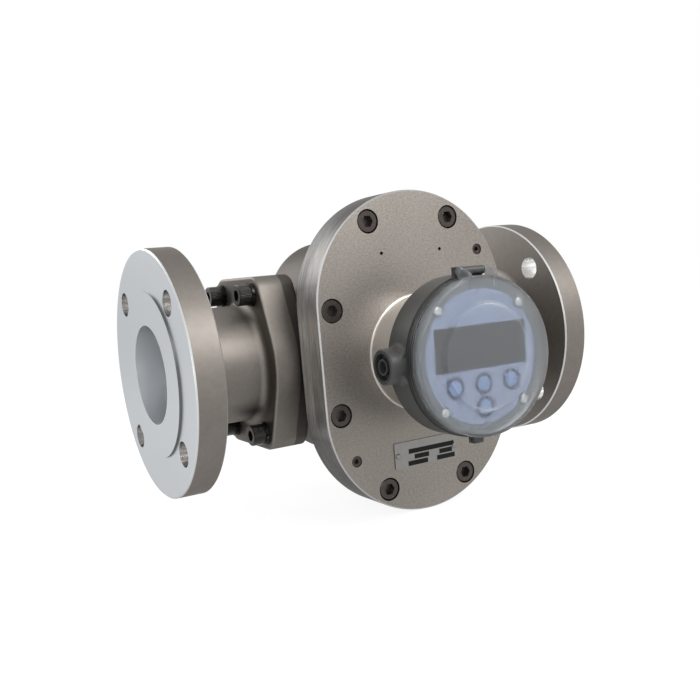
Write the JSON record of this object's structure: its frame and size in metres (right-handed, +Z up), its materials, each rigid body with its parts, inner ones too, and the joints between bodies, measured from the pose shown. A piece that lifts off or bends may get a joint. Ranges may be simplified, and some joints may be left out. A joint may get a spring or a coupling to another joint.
{
  "type": "oval gear flow meter",
  "caption": "Flanged oval gear flow meter with meshing oval rotors in a cast body, a bolted cover and a round battery register with a hinged clear lid.",
  "frame": {"origin": "centre of the inlet flange's raised face, on the pipe axis", "axes": "+X along the pipe from inlet to outlet, -Y towards the front cover and register, +Z up"},
  "size_m": [0.3556, 0.2809, 0.242],
  "materials": {
    "cast_steel": "bead-blasted stainless steel casting, machined on its sealing faces",
    "machined_cover": "stainless steel plate, fine ground face",
    "seal_rubber": "matt black",
    "black_oxide": "black oxide, satin",
    "ground_steel": "ground",
    "rotor_steel": "machined, hobbed teeth",
    "carbon_bush": "carbon graphite, matt",
    "washer_plastic": "filled white plastic",
    "magnet": "plated",
    "turned_aluminium": "fine turned",
    "sensor_brass": "plated body",
    "housing_plastic": "moulded, fine matt grain",
    "bezel_plastic": "moulded, matt",
    "facia_film": "satin printed film, grey-blue",
    "facia_screw_steel": "plated",
    "display_glass": "grey display behind a clear window",
    "board_green": "solder mask green",
    "switch_plastic": "black",
    "battery_case": "plain sleeve",
    "lid_plastic": "frosted clear",
    "plate_aluminium": "satin",
    "button_rubber": "satin, grey-blue"
  },
  "bodies": {
    "meter": {"meter_body": "cast_steel", "front_cover": "machined_cover", "cover_seal": "seal_rubber", "cover_screws": "black_oxide", "cover_dowels": "ground_steel", "inlet_adaptor": "cast_steel", "outlet_adaptor": "cast_steel", "inlet_seal": "seal_rubber", "outlet_seal": "seal_rubber", "adaptor_washers": "black_oxide", "adaptor_screws": "black_oxide", "upper_rotor_shaft": "ground_steel", "lower_rotor_shaft": "ground_steel", "thrust_washers": "washer_plastic", "register_stem": "turned_aluminium", "stem_seal": "seal_rubber", "stem_screws": "black_oxide", "pickup_sensor": "sensor_brass", "register_gasket": "seal_rubber", "register_housing": "housing_plastic", "housing_screws": "ground_steel", "register_bezel": "bezel_plastic", "facia_panel": "facia_film", "facia_screws": "facia_screw_steel", "display_module": "display_glass", "circuit_board": "board_green", "board_screws": "ground_steel", "tact_switches": "switch_plastic", "battery": "battery_case", "conduit_plug": "housing_plastic", "hinge_pin": "ground_steel", "data_plate": "plate_aluminium", "plate_rivets": "plate_aluminium"},
    "upper_rotor": {"upper_rotor": "rotor_steel", "upper_rotor_bushes": "carbon_bush", "rotor_magnets": "magnet"},
    "lower_rotor": {"lower_rotor": "rotor_steel", "lower_rotor_bushes": "carbon_bush"},
    "lid": {"clear_lid": "lid_plastic"},
    "left_button": {"left_button": "button_rubber"},
    "middle_button": {"middle_button": "button_rubber"},
    "right_button": {"right_button": "button_rubber"},
    "lower_button": {"lower_button": "button_rubber"}
  },
  "joints": [
    {"name": "upper_rotor_spin", "type": "hinge", "parent": "meter", "child": "upper_rotor", "pos_m": [0.1778, 0, 0.038], "axis": [0, 1, 0], "continuous": true},
    {"name": "lower_rotor_spin", "type": "hinge", "parent": "meter", "child": "lower_rotor", "pos_m": [0.1778, 0, -0.038], "axis": [0, 1, 0], "continuous": true},
    {"name": "lid_hinge", "type": "hinge", "parent": "meter", "child": "lid", "pos_m": [0.1778, -0.1715, 0.0585], "axis": [-1, 0, 0], "range_deg": [0, 110]},
    {"name": "left_button_press", "type": "slide", "parent": "meter", "child": "left_button", "axis": [0, 1, 0], "range_m": [0, 0.0008], "stiffness_N_per_m": 600},
    {"name": "middle_button_press", "type": "slide", "parent": "meter", "child": "middle_button", "axis": [0, 1, 0], "range_m": [0, 0.0008], "stiffness_N_per_m": 600},
    {"name": "right_button_press", "type": "slide", "parent": "meter", "child": "right_button", "axis": [0, 1, 0], "range_m": [0, 0.0008], "stiffness_N_per_m": 600},
    {"name": "lower_button_press", "type": "slide", "parent": "meter", "child": "lower_button", "axis": [0, 1, 0], "range_m": [0, 0.0008], "stiffness_N_per_m": 600}
  ],
  "couplings": [
    {"joint": "lower_rotor_spin", "follows": "upper_rotor_spin", "ratio": -1}
  ]
}
